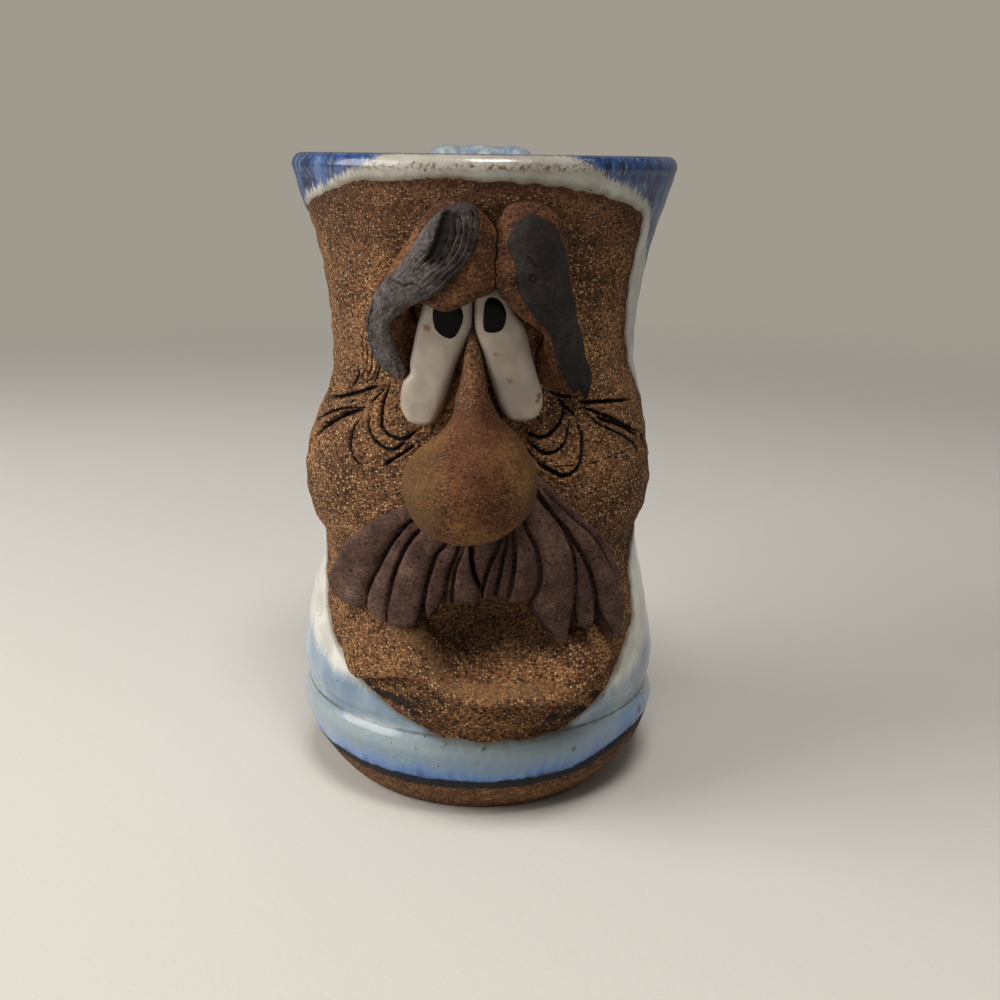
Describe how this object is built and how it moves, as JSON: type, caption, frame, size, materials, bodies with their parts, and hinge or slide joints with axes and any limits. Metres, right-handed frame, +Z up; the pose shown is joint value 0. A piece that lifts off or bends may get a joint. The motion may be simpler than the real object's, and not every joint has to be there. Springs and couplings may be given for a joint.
{
  "type": "face mug",
  "caption": "Free-standing hand-thrown stoneware drinking mug with flared rim, modelled caricature face on the front and a pulled strap handle behind",
  "frame": {"origin": "middle of the flat base, on the surface that the mug stands on", "axes": "+Z up along the thrown axis, the face looks along -Y, the handle stands on the +Y side, +X is the viewer's right when looking at the face"},
  "size_m": [0.0766, 0.1255, 0.1326],
  "materials": {
    "glazed_stoneware": "gloss cream glaze with cobalt blue runs over bare stoneware on the face panel",
    "bare_stoneware": "matt, grogged",
    "white_clay": "smooth satin",
    "black_glaze": "gloss",
    "iron_clay": "matt, grogged",
    "grey_clay": "matt, combed",
    "dark_clay": "matt"
  },
  "bodies": {
    "root": {"mug_body": "glazed_stoneware", "handle": "glazed_stoneware", "nose": "bare_stoneware", "lower_lip": "bare_stoneware", "left_eye": "white_clay", "right_eye": "white_clay", "left_pupil": "black_glaze", "right_pupil": "black_glaze", "left_eyelid": "iron_clay", "right_eyelid": "iron_clay", "left_eyebrow": "grey_clay", "right_eyebrow": "grey_clay", "moustache_left": "dark_clay", "moustache_right": "dark_clay"}
  },
  "joints": []
}
